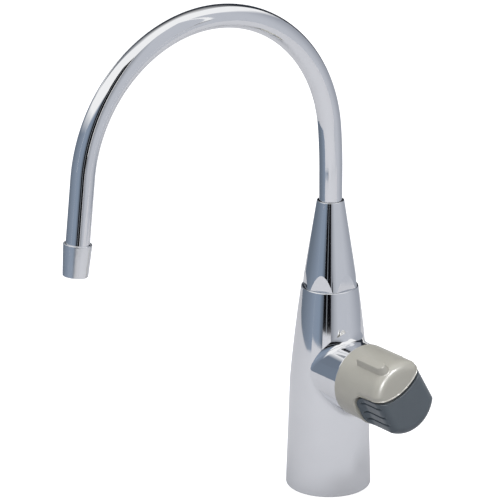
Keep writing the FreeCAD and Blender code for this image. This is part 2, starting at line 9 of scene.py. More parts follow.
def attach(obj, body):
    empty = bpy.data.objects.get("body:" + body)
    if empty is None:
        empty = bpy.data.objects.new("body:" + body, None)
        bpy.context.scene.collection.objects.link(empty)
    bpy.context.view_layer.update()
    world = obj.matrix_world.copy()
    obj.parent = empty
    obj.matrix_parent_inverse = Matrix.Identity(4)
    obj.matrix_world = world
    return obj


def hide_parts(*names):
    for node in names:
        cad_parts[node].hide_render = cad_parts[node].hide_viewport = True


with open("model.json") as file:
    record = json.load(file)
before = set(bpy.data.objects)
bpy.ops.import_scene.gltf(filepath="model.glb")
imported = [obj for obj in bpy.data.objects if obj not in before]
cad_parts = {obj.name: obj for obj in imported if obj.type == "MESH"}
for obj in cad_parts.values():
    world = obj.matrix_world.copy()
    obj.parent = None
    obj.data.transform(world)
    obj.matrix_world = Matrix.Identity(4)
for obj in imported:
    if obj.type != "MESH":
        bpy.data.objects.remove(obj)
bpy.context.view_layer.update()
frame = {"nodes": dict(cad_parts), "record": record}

# Sizes in millimetres, in the tap's own frame. Meshes are made in metres.
MM = 0.001

# Column of the body, with a patch round the branch between two heights
BASE_R = 25.0
BASE_EDGE = 1.2
WAIST_R = 22.9
WAIST_Z = 66.0
TOP_R = 16.6
TOP_Z = 123.4
TOP_EDGE = 0.8
SHOULDER_BOW = 0.4
NECK_R = 11.5
NECK_TOP = 140.0
SOCKET_R = 9.4
SOCKET_FLOOR = 104.0
SHANK_SOCKET_R = 8.1
SHANK_SOCKET_TOP = 14.0
GASKET_SEAT_IN_R = 16.9
GASKET_SEAT_OUT_R = 22.1
GASKET_SEAT_TOP = 2.0
PATCH_LOW = 36.0
PATCH_HIGH = 114.0

# Valve branch of the body
BRANCH_Z = 74.2
BRANCH_R = 20.5
BRANCH_END = 31.0
BRANCH_RIM = 4.0
BRANCH_EDGE = 0.6
BRANCH_BLEND = 6.0
CHAMBER_R = 12.2
SEAT_X = 12.0

# Collar: a cone that is plain from some height above its foot
COLLAR_FOOT_R = 16.1
COLLAR_FOOT_EDGE = 0.35
COLLAR_TIP_R = 7.9
COLLAR_TIP_Z = 175.15
COLLAR_LIP = 0.5
COLLAR_FLATS = 29.1
COLLAR_PLAIN_FROM = 14.0
COLLAR_TURN = math.radians(32.0)
COLLAR_BORE_R = 7.12
COLLAR_BORE_EDGE = 0.2
COLLAR_THREAD_R = 11.6
COLLAR_SHOULDER_Z = 144.4
BUSH_BORE_R = 8.55
BUSH_TOP = 160.15

# Spout and its tip
TUBE_R = 6.67
TUBE_WALL = 1.0
TUBE_FOOT = 107.0
RISER_TOP = 192.4
EASE_R = 300.0
EASE_SWEEP = math.radians(5.0)
BEND_R = 85.3
SPOUT_LEAN = math.radians(173.7)
TAIL_TO_RIM = 36.1
NOZZLE_GRIP = 9.3
NOZZLE_RIM_R = 8.0
NOZZLE_RIM_EDGE = 0.5
NOZZLE_TIP_R = 7.05
NOZZLE_TIP_EDGE = 0.6
NOZZLE_LENGTH = 18.4
NOZZLE_BORE_R = 5.4
NOZZLE_BORE_EDGE = 0.3
NOZZLE_SOCKET_R = 6.72
NOZZLE_SOCKET_EDGE = 0.45
NOZZLE_LEDGE = 11.1

# Knob: a turned rear ring, then the formed outside, with side flats and a leaning front
KNOB_X = 31.3
KNOB_FRONT = 70.3
KNOB_R = 21.25
KNOB_EDGE = 4.8
KNOB_SIDE_EDGE = 0.6
KNOB_REAR_EDGE = 0.5
KNOB_REAR_RING = 1.2
KNOB_FIRST_ROW = 1.6
KNOB_TURN = math.radians(27.0)
KNOB_SKIRT_R = 18.65
KNOB_SKIRT_EDGE = 0.3
KNOB_SKIRT_DEPTH = 15.5
KNOB_MIDDLE = 56.0
FRONT_LEAN = math.radians(7.0)
FLAT_W = 16.9
FLAT_REAR = 55.0
FLAT_SHOULDER_R = 4.5

# Pointer rib
RIB_REAR = 44.1
RIB_FRONT = 65.4
RIB_SIDE = -2.1
RIB_W = 5.6
RIB_TOP = 24.8
RIB_EDGE = 0.6
RIB_FOOT = 0.5
RIB_SUNK = 0.03
RIB_DRAFT = 0.7
RIB_SLOPE = 0.3

# Soft pad, the seam round it with its bead and flange, and the finger grooves. The flange carries the pad's
# rubber under the seam, and its dark colour on the seam's floor is also painted shade that darkens the gap.
GRIP_REAR = 49.95
GRIP_TOP = 9.05
GRIP_CORNER = 3.5
SMILE_LOW = 4.35
SEAM_HALF = 0.75
SEAM_EDGE = 0.35
SEAM_DEPTH = 3.2
BEAD_H = 0.4
BEAD_W = 1.1
FLANGE_TOP = 2.95
FLANGE_FIT = 0.05
GROOVE_HEIGHTS = (4.4, -2.1, -7.5)
GROOVE_HALF = 0.65
GROOVE_SUNK = 1.2
GROOVE_START = 52.0

# Mesh fineness: points round each piece and along each stretch of it, and how rows close up at an edge
COLUMN_ROUND = 160
COLLAR_ROUND = 360
TUBE_ROUND = 72
TIP_ROUND = 96
TIP_PITCH = 1.5
SHORT_ROWS = 8
PATCH_ROWS = 72
FAN_ROWS = 26
FAN_EASE = 1.4
BLEND_ROWS = 14
BLEND_SAMPLES = 800
COLLAR_ROLL_ROWS = 24
COLLAR_FLAT_ROWS = 9
COLLAR_CLIMB_ROWS = 13
RISER_ROWS = 28
EASE_ROWS = 10
BEND_ROWS = 176
TAIL_ROWS = 16
RIB_ROLL_ROWS = 8
RIB_TOP_ROWS = 6
RIB_NOSE_COLS = 25
RIB_TAIL_COLS = 9
RIB_FLANK_COLS = 12
SHELL_ROWS = 40
SHELL_SEAM_ROWS = 26
SHELL_EVEN = 0.8
PAD_ROWS = 90
PAD_SEAM_ROWS = 14
PAD_SEAM = 0.08
SEAM_EASE = 1.8
LIP_ROWS = 5
FLANGE_ROWS = 4
FLOOR_ROWS = 24

# Angles round the knob, in radians: stretches from the rib past the pad's side border to the underside
BORDER_BEFORE = 0.05
BORDER_AFTER = 0.075
FLAT_END_TURN = 2.1
STRETCH_COUNTS = (70, 70, 140, 50)

# Accuracy of the surfaces: halvings of an interval, slopes, and the small ring that closes a bore's floor
HALVINGS = 40
SLOPE_STEP = 0.02
LEAST_SLOPE = 0.3
AXIS_R = 0.01

# Meshes: the weld in metres, and the turns above which an edge stays crisp
WELD = 0.000002
SMOOTH_LIMIT = math.radians(32)
CRISP_LIMIT = math.radians(6)


def rows_of_quads(rows, cols, wraps):
    """Corner indices of the quads of a rows by cols grid. Where it wraps, its last column joins its first."""
    index = np.arange(rows * cols).reshape(rows, cols)
    if wraps:
        index = np.hstack([index, index[:, :1]])
    corners = [index[:-1, :-1], index[:-1, 1:], index[1:, 1:], index[1:, :-1]]
    return np.stack(corners, -1).reshape(-1, 4)


def piece(name, sheets, body, material, stands_for, limit=SMOOTH_LIMIT):
    """One mesh object from sheets, each a grid of points in millimetres and whether its columns wrap. Sheets
    are welded where their points meet, and edges that turn by more than the limit stay crisp."""
    points, faces, count = [], [], 0
    for grid, wraps in sheets:
        rows, cols = grid.shape[:2]
        points.append(grid.reshape(-1, 3))
        faces.append(rows_of_quads(rows, cols, wraps) + count)
        count += rows * cols
    mesh = bpy.data.meshes.new(name)
    mesh.from_pydata((np.vstack(points) * MM).tolist(), [], np.vstack(faces).tolist())
    shape = bmesh.new()
    shape.from_mesh(mesh)
    bmesh.ops.remove_doubles(shape, verts=shape.verts, dist=WELD)
    bmesh.ops.recalc_face_normals(shape, faces=shape.faces)
    shape.to_mesh(mesh)
    shape.free()
    mesh.shade_smooth()
    mesh.set_sharp_from_angle(angle=limit)
    mesh.materials.append(material)
    made = bpy.data.objects.new(name, mesh)
    bpy.context.scene.collection.objects.link(made)
    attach(made, body)
    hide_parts(stands_for)
    return made


def full_turn(count):
    """Even angles round one turn, without the last one that would repeat the first."""
    return np.linspace(0, 2 * np.pi, count, endpoint=False)


def arc_about(centre, start, end, sweep, share):
    """Points at these shares of the arc about a centre. start and end lead from the centre to the arc's ends
    and are weighted by sin((1 - share) sweep) and sin(share sweep), over sin(sweep)."""
    return centre + (np.sin((1 - share) * sweep) * start + np.sin(share * sweep) * end) / np.sin(sweep)


def arc_corner(before, corner, after, radius, steps):
    """Points of the arc of this radius that rounds a corner between two straight runs."""
    a = (before - corner) / np.linalg.norm(before - corner)
    b = (after - corner) / np.linalg.norm(after - corner)
    half = math.acos(np.clip(a @ b, -1, 1)) / 2
    middle = (a + b) / np.linalg.norm(a + b)
    centre = corner + middle * radius / math.sin(half)
    start = corner + a * radius / math.tan(half) - centre
    end = corner + b * radius / math.tan(half) - centre
    return arc_about(centre, start, end, math.pi - 2 * half, np.linspace(0, 1, steps)[:, None])


def outline(corners, pitch=2.0, guard=0.15, steps=7):
    """Profile through (radius, height, rounding) corners: rounded corners are arcs, straight runs are divided
    at about the pitch, and a guard point beside each run's ends keeps the shading of long runs even."""
    spots = np.array([corner[:2] for corner in corners], float)
    stretches = []
    for i, corner in enumerate(corners):
        inner = 0 < i < len(corners) - 1
        if inner and corner[2] > 0:
            stretches.append(arc_corner(spots[i - 1], spots[i], spots[i + 1], corner[2], steps))
        else:
            stretches.append(spots[i:i + 1])
    line = [stretches[0]]
    for before, after in zip(stretches[:-1], stretches[1:]):
        run = after[0] - before[-1]
        length = np.linalg.norm(run)
        inside = np.linspace(0, 1, max(2, int(length / pitch) + 1))[1:-1]
        if length > 4 * guard:
            inside = np.concatenate([[guard / length], inside, [1 - guard / length]])
        line.append(before[-1] + inside[:, None] * run)
        line.append(after)
    return np.vstack(line)


def turned(profile, angle):
    """Surface of revolution about Z: each (radius, height) point of the profile becomes a ring."""
    r, z = profile[:, :1], profile[:, 1:]
    return np.stack([r * np.cos(angle), r * np.sin(angle), z + 0 * angle], -1)


def about_axis(along, radius, turn, height=0.0):
    """Points round an axis along X at this height: turn is the angle from straight up towards +Y."""
    across, up = radius * np.sin(turn), radius * np.cos(turn)
    return np.stack(np.broadcast_arrays(along, across, up + height), -1)


def crossing(inside, near, far):
    """Where a condition that holds at near ends on the way to far, by halving the interval."""
    for _ in range(HALVINGS):
        middle = (near + far) / 2
        holds = inside(middle)
        near, far = np.where(holds, middle, near), np.where(holds, far, middle)
    return far


def slope_of(depth, p):
    """Gradient of a depth function at points, by central differences."""
    axes = np.eye(3) * SLOPE_STEP
    return np.stack([depth(p + a) - depth(p - a) for a in axes], -1) / (2 * SLOPE_STEP)


def column_profile(z):
    """Radius of the column at height z: a straight taper up to the waist, then a bowed arc to the top."""
    chord = math.hypot(TOP_R - WAIST_R, TOP_Z - WAIST_Z)
    radius = (chord ** 2 / 4 + SHOULDER_BOW ** 2) / (2 * SHOULDER_BOW)
    outward = np.array([TOP_Z - WAIST_Z, WAIST_R - TOP_R]) / chord
    middle = np.array([WAIST_R + TOP_R, WAIST_Z + TOP_Z]) / 2
    centre = middle - outward * (radius - SHOULDER_BOW)
    bowed = centre[0] + np.sqrt(radius ** 2 - (z - centre[1]) ** 2)
    return np.where(z < WAIST_Z, BASE_R + (WAIST_R - BASE_R) * z / WAIST_Z, bowed)


def on_column(angle, z):
    """Points of the column's outside at these angles and heights."""
    r = column_profile(z)
    return np.stack(np.broadcast_arrays(r * np.cos(angle), r * np.sin(angle), z), -1)


def branch_blend(turn):
    """Rolling-ball blend between column and branch. For each angle round the branch's axis the ball's centre
    lies one blend radius outside both walls, and the arc round that centre joins its two contacts. Returns
    the arcs, and the angle and height of each arc's foot on the column."""
    z = np.linspace(BRANCH_Z - 2 * BRANCH_R, TOP_Z, BLEND_SAMPLES)
    r = column_profile(z)
    slope = np.gradient(r, z)
    lean = np.sqrt(1 + slope ** 2)
    off_r, off_z = r + BRANCH_BLEND / lean, z - BRANCH_BLEND * slope / lean
    reach = BRANCH_R + BRANCH_BLEND
    ball_y, ball_z = reach * np.sin(turn), BRANCH_Z + reach * np.cos(turn)
    ball_r, foot_z = np.interp(ball_z, off_z, off_r), np.interp(ball_z, off_z, z)
    ball_x = np.sqrt(ball_r ** 2 - ball_y ** 2)
    foot_angle = np.arctan2(ball_y, ball_x)
    ball = np.stack([ball_x, ball_y, ball_z], -1)
    foot = on_column(foot_angle, foot_z) - ball
    wall = about_axis(ball_x, BRANCH_R, turn, BRANCH_Z) - ball
    cosine = (foot * wall).sum(-1) / np.linalg.norm(foot, axis=-1) / np.linalg.norm(wall, axis=-1)
    share = np.linspace(0, 1, BLEND_ROWS)[:, None, None]
    return arc_about(ball, foot, wall, np.arccos(cosine)[:, None], share), foot_angle, foot_z


def front_border(side_z):
    """Angles and heights along the border of the column's front patch: from the middle of its top towards +Y,
    down, back along the bottom, up and on to the start."""
    across = np.linspace(-np.pi / 2, np.pi / 2, COLUMN_ROUND // 2 + 1)
    middle = len(across) // 2
    side = np.full(len(side_z) - 2, np.pi / 2)
    angle = np.concatenate([across[middle:], side, across[::-1], -side, across[:middle]])
    z = np.concatenate([np.full(len(across) - middle, PATCH_HIGH), side_z[-2:0:-1],
                        np.full(len(across), PATCH_LOW), side_z[1:-1], np.full(middle, PATCH_HIGH)])
    return angle, z


def column_ends():
    """Profiles of the column below and above the patch round the branch, with the sockets at both ends."""
    foot = outline([(SHANK_SOCKET_R, SHANK_SOCKET_TOP, 0), (SHANK_SOCKET_R, 0, 0), (GASKET_SEAT_IN_R, 0, 0),
                    (GASKET_SEAT_IN_R, GASKET_SEAT_TOP, 0), (GASKET_SEAT_OUT_R, GASKET_SEAT_TOP, 0),
                    (GASKET_SEAT_OUT_R, 0, 0), (BASE_R, 0, BASE_EDGE),
                    (float(column_profile(PATCH_LOW)), PATCH_LOW, 0)])
    rise = np.linspace(PATCH_HIGH, TOP_Z - 2 * TOP_EDGE, SHORT_ROWS)
    shoulder = np.stack([column_profile(rise), rise], -1)
    crown = outline([(*shoulder[-1], 0), (TOP_R, TOP_Z, TOP_EDGE), (NECK_R, TOP_Z, 0), (NECK_R, NECK_TOP, 0),
                     (SOCKET_R, NECK_TOP, 0), (SOCKET_R, SOCKET_FLOOR, 0), (AXIS_R, SOCKET_FLOOR, 0)])
    return foot, np.vstack([shoulder, crown[1:]])


def body_sheets():
    """The body: rings of the column below and above the branch, a plain patch behind, a patch in front whose
    columns fan out from the blend's foot to the patch's border, and the branch itself."""
    ring_angle = np.linspace(-np.pi / 2, 1.5 * np.pi, COLUMN_ROUND, endpoint=False)
    below, above = column_ends()
    side_z = np.linspace(PATCH_LOW, PATCH_HIGH, PATCH_ROWS + 1)
    back = on_column(np.append(ring_angle[COLUMN_ROUND // 2:], 1.5 * np.pi), side_z[:, None])

    border_angle, border_z = front_border(side_z)
    turn = np.unwrap(np.arctan2(border_angle * WAIST_R, border_z - BRANCH_Z))
    arcs, foot_angle, foot_z = branch_blend(turn)
    share = np.linspace(0, 1, FAN_ROWS)[:, None] ** FAN_EASE
    fan = on_column(foot_angle + (border_angle - foot_angle) * share, foot_z + (border_z - foot_z) * share)

    end = outline([(BRANCH_R, BRANCH_END - BRANCH_RIM, 0), (BRANCH_R, BRANCH_END, BRANCH_EDGE),
                   (CHAMBER_R, BRANCH_END, 0), (CHAMBER_R, SEAT_X, 0), (AXIS_R, SEAT_X, 0)])
    mouth = about_axis(end[:, 1:], end[:, :1], turn, BRANCH_Z)
    run = np.linspace(0, 1, SHORT_ROWS)[1:, None, None]
    tube = np.concatenate([arcs, arcs[-1] + run * (mouth[0] - arcs[-1])])
    return [(turned(below, ring_angle), True), (turned(above, ring_angle), True), (back, False), (fan, True),
            (tube, True), (mouth, True)]


def collar_sheets():
    """Hollow cone with a rolled tip. Six upright spanner flats cut its foot: in each direction the wall
    climbs straight up the flat, if that lies inside the cone, and follows the cone from where they meet."""
    angle = full_turn(COLLAR_ROUND)
    off_flat = np.mod(angle - COLLAR_TURN, np.pi / 3) - np.pi / 6
    foot_r = np.minimum(COLLAR_FLATS / 2 / np.cos(off_flat), COLLAR_FOOT_R)
    slope = (COLLAR_TIP_Z - TOP_Z) / (COLLAR_FOOT_R - COLLAR_TIP_R)
    meet_z = TOP_Z + slope * (COLLAR_FOOT_R - foot_r)
    roll = np.linspace(0, np.pi / 2, COLLAR_ROLL_ROWS)[:, None]
    edge_r = foot_r - COLLAR_FOOT_EDGE * (1 - np.sin(roll))
    edge_z = TOP_Z + COLLAR_FOOT_EDGE * (1 - np.cos(roll)) + 0 * angle
    share = np.linspace(0, 1, COLLAR_FLAT_ROWS)[1:, None]
    flat_r = foot_r + 0 * share
    flat_z = edge_z[-1] + share * np.maximum(meet_z - edge_z[-1], 0)
    rest = outline([(COLLAR_FOOT_R, TOP_Z, 0), (COLLAR_TIP_R, COLLAR_TIP_Z, COLLAR_LIP),
                    (COLLAR_BORE_R, COLLAR_TIP_Z, COLLAR_BORE_EDGE), (COLLAR_BORE_R, BUSH_TOP, 0),
                    (BUSH_BORE_R, BUSH_TOP, 0), (BUSH_BORE_R, COLLAR_SHOULDER_Z, 0),
                    (COLLAR_THREAD_R, COLLAR_SHOULDER_Z, 0), (COLLAR_THREAD_R, TOP_Z, 0)],
                   steps=COLLAR_ROLL_ROWS)
    rest = rest[np.argmax(rest[:, 1] > TOP_Z + COLLAR_PLAIN_FROM):, :, None] + 0 * angle
    climb = np.linspace(0, 1, COLLAR_CLIMB_ROWS)[1:-1, None]
    cone_r = flat_r[-1] + climb * (rest[0, 0] - flat_r[-1])
    cone_z = flat_z[-1] + climb * (rest[0, 1] - flat_z[-1])
    r = np.vstack([edge_r, flat_r, cone_r, rest[:, 0], edge_r[:1]])
    z = np.vstack([edge_z, flat_z, cone_z, rest[:, 1], edge_z[:1]])
    return [(np.stack([r * np.cos(angle), r * np.sin(angle), z], -1), True)]


def bend_point(lean):
    """Point (y, z) of the main bend where the spout has turned by this angle."""
    out = EASE_R - BEND_R
    y = -EASE_R + out * math.cos(EASE_SWEEP) + BEND_R * np.cos(lean)
    return y, RISER_TOP + out * math.sin(EASE_SWEEP) + BEND_R * np.sin(lean)


def spout_line():
    """Stations along the spout's centre line, riser, easing bend, main bend and tail: points, and the unit
    normals that lie in the bend's plane."""
    riser = np.linspace(TUBE_FOOT, RISER_TOP, RISER_ROWS)[:-1]
    ease = np.linspace(0, EASE_SWEEP, EASE_ROWS)[:-1]
    bend = np.linspace(EASE_SWEEP, SPOUT_LEAN, BEND_ROWS)
    tail = np.linspace(0, TAIL_TO_RIM + NOZZLE_GRIP, TAIL_ROWS)[1:]
    bend_y, bend_z = bend_point(bend)
    y = np.concatenate([0 * riser, EASE_R * (np.cos(ease) - 1), bend_y,
                        bend_y[-1] - math.sin(SPOUT_LEAN) * tail])
    z = np.concatenate([riser, RISER_TOP + EASE_R * np.sin(ease), bend_z,
                        bend_z[-1] + math.cos(SPOUT_LEAN) * tail])
    lean = np.concatenate([0 * riser, ease, bend, SPOUT_LEAN + 0 * tail])
    centre = np.stack([0 * y, y, z], -1)
    outward = np.stack([0 * lean, np.cos(lean), np.sin(lean)], -1)
    return centre, outward


def spout_sheets():
    """Round tube carried along the spout's line: the outer wall forward, the bore back."""
    centre, outward = spout_line()
    angle = full_turn(TUBE_ROUND)[None, :, None]
    ring = np.cos(angle) * outward[:, None] + np.sin(angle) * np.array([1.0, 0, 0])
    outer = centre[:, None] + TUBE_R * ring
    bore = (centre[:, None] + (TUBE_R - TUBE_WALL) * ring)[::-1]
    return [(np.concatenate([outer, bore, outer[:1]]), True)]


def at_spout_end(grid):
    """Moves a grid made about Z, rim at 0 and tip at +Z, onto the spout's end."""
    heading = np.array([0, -math.sin(SPOUT_LEAN), math.cos(SPOUT_LEAN)])
    end_y, end_z = bend_point(SPOUT_LEAN)
    side = np.array([1.0, 0, 0])
    forward = np.cross(heading, side)
    return np.array([0, end_y, end_z]) + heading * TAIL_TO_RIM + grid @ np.stack([side, forward, heading])


def nozzle_sheets():
    """Tapering tip with a rounded proud rim, open below, with a ledge inside for the screen."""
    profile = outline([(NOZZLE_SOCKET_R, NOZZLE_LEDGE, 0), (NOZZLE_SOCKET_R, 0, NOZZLE_SOCKET_EDGE),
                       (NOZZLE_RIM_R, 0, NOZZLE_RIM_EDGE), (NOZZLE_TIP_R, NOZZLE_LENGTH, NOZZLE_TIP_EDGE),
                       (NOZZLE_BORE_R, NOZZLE_LENGTH, NOZZLE_BORE_EDGE), (NOZZLE_BORE_R, NOZZLE_LEDGE, 0),
                       (NOZZLE_SOCKET_R, NOZZLE_LEDGE, 0)], pitch=TIP_PITCH)
    return [(at_spout_end(turned(profile, full_turn(TIP_ROUND))), True)]


def rounded_meet(a, b, radius):
    """Depth outside two walls whose meeting edge is rounded."""
    beyond = np.hypot(np.maximum(a + radius, 0), np.maximum(b + radius, 0))
    return np.minimum(np.maximum(a, b), -radius) + beyond


def knob_depth(p):
    """How far points lie outside the knob: a barrel, two side flats that start with a hollow shoulder and a
    front that leans back at the top, with rounded edges between them."""
    u, w, v = p[..., 0], np.abs(p[..., 1]), p[..., 2]
    hollow = FLAT_SHOULDER_R - np.hypot(u - FLAT_REAR, w - FLAT_W - FLAT_SHOULDER_R)
    flat = np.where(u < FLAT_REAR, hollow, w - FLAT_W)
    side = rounded_meet(np.hypot(w, v) - KNOB_R, flat, KNOB_SIDE_EDGE)
    front = (u - KNOB_FRONT) * math.cos(FRONT_LEAN) + v * math.sin(FRONT_LEAN)
    return rounded_meet(side, front, KNOB_EDGE)


def knob_surface(turn, along, inset=0.0):
    """Points of the knob's outside, or that far below it. turn is the angle from the rib. along runs from 0
    at the rear to 1 on rays square to the axis, then to 2 at the front's middle on rays fanning forward."""
    turn, along, inset = np.broadcast_arrays(turn, along, inset)
    u = KNOB_X + (KNOB_MIDDLE - KNOB_X) * np.minimum(along, 1)
    fan = np.pi / 2 * np.clip(2 - along, 0, 1)
    ray = about_axis(np.cos(fan), np.sin(fan), turn)
    start = np.stack([u, 0 * u, 0 * u], -1)
    reach = crossing(lambda t: knob_depth(start + t[..., None] * ray) < -inset, 0 * u, 0 * u + 2 * KNOB_R)
    return start + reach[..., None] * ray


def knob_normal(p):
    """Outward unit normals of the knob's form."""
    slope = slope_of(knob_depth, p)
    return slope / np.linalg.norm(slope, axis=-1, keepdims=True)


def pad_depth(p):
    """How far points lie outside the soft pad's area: below the smile line and ahead of its rear edge,
    with a rounded corner between the two."""
    u, w, v = p[..., 0], p[..., 1], p[..., 2]
    drop = GRIP_TOP - SMILE_LOW
    radius = (FLAT_W ** 2 + drop ** 2) / (2 * drop)
    dip = radius - np.sqrt(radius ** 2 - np.clip(np.abs(w), 0, FLAT_W) ** 2)
    return rounded_meet(v - SMILE_LOW - dip, GRIP_REAR - u, GRIP_CORNER)


def seam_distance(p, normal):
    """Distance to the pad's border along the surface: the depth over its slope within the surface."""
    slope = slope_of(pad_depth, p)
    slope = slope - (slope * normal).sum(-1, keepdims=True) * normal
    return pad_depth(p) / np.maximum(np.linalg.norm(slope, axis=-1), LEAST_SLOPE)


def seam_station(turn, level):
    """Where along each line of the knob the pad's depth falls to this level."""
    return crossing(lambda along: pad_depth(knob_surface(turn, along)) > level, 0 * turn, 0 * turn + 2)


def knob_turns():
    """Angles round the knob from the rib, closer together where the pad's side borders run along the axis and
    on the flats. The second half mirrors the first."""
    border = math.atan2(FLAT_W, GRIP_TOP)
    marks = [0, border - BORDER_BEFORE, border + BORDER_AFTER, FLAT_END_TURN, np.pi]
    stretches = [np.linspace(*stretch)[:-1] for stretch in zip(marks[:-1], marks[1:], STRETCH_COUNTS)]
    half = np.concatenate(stretches + [[np.pi]])
    return np.concatenate([half, 2 * np.pi - half[-2:0:-1]])


def rolled_edge(distance):
    """Depth of a quarter-round edge at a distance from its rim."""
    inside = np.clip(SEAM_EDGE - distance, 0, SEAM_EDGE)
    return SEAM_EDGE - np.sqrt(SEAM_EDGE ** 2 - inside ** 2)


def on_knob_axis(grid):
    """Turns a rib-up knob grid to the closed position on the branch's axis."""
    cosine, sine = math.cos(KNOB_TURN), math.sin(KNOB_TURN)
    x, y, z = grid[..., 0], grid[..., 1], grid[..., 2]
    return np.stack([x, y * cosine - z * sine, y * sine + z * cosine + BRANCH_Z], -1)


def knob_top(plan):
    """Height of the knob's upper outside over (along, across) points."""
    axis = np.zeros(plan.shape[:-1])
    return crossing(lambda v: knob_depth(np.dstack([plan, v])) < 0, axis, axis + 2 * KNOB_R)


def rib_sheet():
    """Pointer rib: D-shaped rings that leave the knob's form in a hollow foot, climb with some draft, roll
    over the top edge and close on top. The round front end leans back towards the top."""
    half = RIB_W / 2
    quarter = np.linspace(0, np.pi / 2, RIB_ROLL_ROWS)
    foot, rise = RIB_FOOT * (1 - np.sin(quarter)), RIB_FOOT * (1 - np.cos(quarter)) - RIB_SUNK
    inset = np.concatenate([-foot - RIB_DRAFT, RIB_EDGE * (1 - np.cos(quarter)),
                            np.linspace(RIB_EDGE, half, RIB_TOP_ROWS)[1:]])
    top = np.concatenate([RIB_TOP - RIB_EDGE * (1 - np.sin(quarter)), np.full(RIB_TOP_ROWS - 1, RIB_TOP)])
    climb = np.concatenate([0 * foot, np.clip((top - KNOB_R) / (RIB_TOP - KNOB_R), 0, 1)])[:, None]
    width = (half - inset)[:, None]
    sweep = np.linspace(-np.pi / 2, np.pi / 2, RIB_NOSE_COLS)
    nose = np.stack([RIB_FRONT - half - RIB_SLOPE * climb + width * np.cos(sweep), width * np.sin(sweep)], -1)
    across = width * np.linspace(1, -1, RIB_TAIL_COLS)
    tail = np.stack([(RIB_REAR + inset)[:, None] + 0 * across, across], -1)
    flank = np.linspace(0, 1, RIB_FLANK_COLS)[None, 1:-1, None]
    back = nose[:, -1:] + flank * (tail[:, :1] - nose[:, -1:])
    forth = tail[:, -1:] + flank * (nose[:, :1] - tail[:, -1:])
    plan = np.concatenate([nose, back, tail, forth], 1) + np.array([0, RIB_SIDE])
    ground = knob_top(plan[:len(foot)])
    height = np.concatenate([ground + rise[:, None], top[:, None] + 0 * plan[len(foot):, :, 0]])
    return np.concatenate([plan, height[..., None]], -1)


def knob_cap_sheets():
    """Hard shell: from the rear edge forward to the pad's border, where a fine bead rolls into the seam, and
    on as the floor under the pad, plus the hollow skirt behind and the pointer rib."""
    turn = knob_turns()
    border = seam_station(turn, SEAM_HALF)
    to_seam = np.linspace(1, 0, SHELL_SEAM_ROWS)[1:] ** SEAM_EASE
    share = np.concatenate([np.linspace(0, SHELL_EVEN, SHELL_ROWS), 1 - (1 - SHELL_EVEN) * to_seam])[:, None]
    first = KNOB_FIRST_ROW / (KNOB_MIDDLE - KNOB_X)
    grid = knob_surface(turn, first + (border - first) * share)
    normal = knob_normal(grid)
    away = np.maximum(seam_distance(grid, normal) - SEAM_HALF, 0)
    depth = rolled_edge(away) - BEAD_H * np.sin(np.pi * np.minimum(away / BEAD_W, 1)) ** 2
    grid = grid - depth[..., None] * normal
    lip = knob_surface(turn, border, np.linspace(SEAM_EDGE, SEAM_DEPTH, LIP_ROWS)[1:, None])
    inward = np.linspace(0, 1, FLOOR_ROWS)[1:, None]
    floor = knob_surface(turn, border + (2 - border) * inward, SEAM_DEPTH)
    skirt_end = KNOB_X + KNOB_SKIRT_DEPTH
    skirt = outline([(KNOB_R, KNOB_X + KNOB_REAR_RING, 0), (KNOB_R, KNOB_X, KNOB_REAR_EDGE),
                     (KNOB_SKIRT_R, KNOB_X, KNOB_SKIRT_EDGE), (KNOB_SKIRT_R, skirt_end, 0),
                     (AXIS_R, skirt_end, 0)])[::-1]
    rear = about_axis(skirt[:, 1:], skirt[:, :1], turn)
    shell = np.concatenate([rear, grid, lip, floor])
    return [(on_knob_axis(shell), True), (on_knob_axis(rib_sheet()), True)]


def groove_depth(p):
    """Depth of the finger grooves: elliptic hollows along three lines on each side flat. They start with a
    round end and run out over the front's rounded edge, where the surface turns away to their floor."""
    depth = np.zeros(p.shape[:-1])
    behind = np.minimum(p[..., 0] - GROOVE_START, 0)
    for height in GROOVE_HEIGHTS:
        away = np.hypot(behind, p[..., 2] - height) / GROOVE_HALF
        depth = np.maximum(depth, GROOVE_SUNK * np.sqrt(np.maximum(1 - away ** 2, 0)))
    floor = FLAT_W - GROOVE_SUNK
    return depth * np.clip((np.abs(p[..., 1]) - floor) / GROOVE_SUNK, 0, 1)


def knob_grip_sheets():
    """Soft pad: its underside from the middle out, a thin flange that fills the seam's floor, the lip and the
    rolled border, then the outside to the middle of the knob's front, with the finger grooves pressed in. The
    flange's dark rubber on the seam's floor is painted shade in the gap."""
    turn = knob_turns()
    border = seam_station(turn, -SEAM_HALF)
    from_seam = np.linspace(0, 1, PAD_SEAM_ROWS)[:-1] ** SEAM_EASE
    share = np.concatenate([PAD_SEAM * from_seam, np.linspace(PAD_SEAM, 1, PAD_ROWS)])[:, None]
    grid = knob_surface(turn, border + (2 - border) * share)
    normal = knob_normal(grid)
    depth = rolled_edge(np.maximum(-seam_distance(grid, normal) - SEAM_HALF, 0)) + groove_depth(grid)
    grid = grid - depth[..., None] * normal
    rim = seam_station(turn, SEAM_HALF - FLANGE_FIT)
    outward = np.linspace(0, 1, FLOOR_ROWS)[:, None]
    under = knob_surface(turn, 2 - (2 - rim) * outward, SEAM_DEPTH - FLANGE_FIT)
    # Flange of the pad's dark rubber over the seam's floor: painted shade that darkens the gap between cap
    # and pad
    flange = knob_surface(turn, rim + (border - rim) * np.linspace(0, 1, FLANGE_ROWS)[:, None], FLANGE_TOP)
    lip = knob_surface(turn, border, np.linspace(FLANGE_TOP, SEAM_EDGE, LIP_ROWS)[1:-1, None])
    return [(on_knob_axis(np.concatenate([under, flange, lip, grid])), True)]


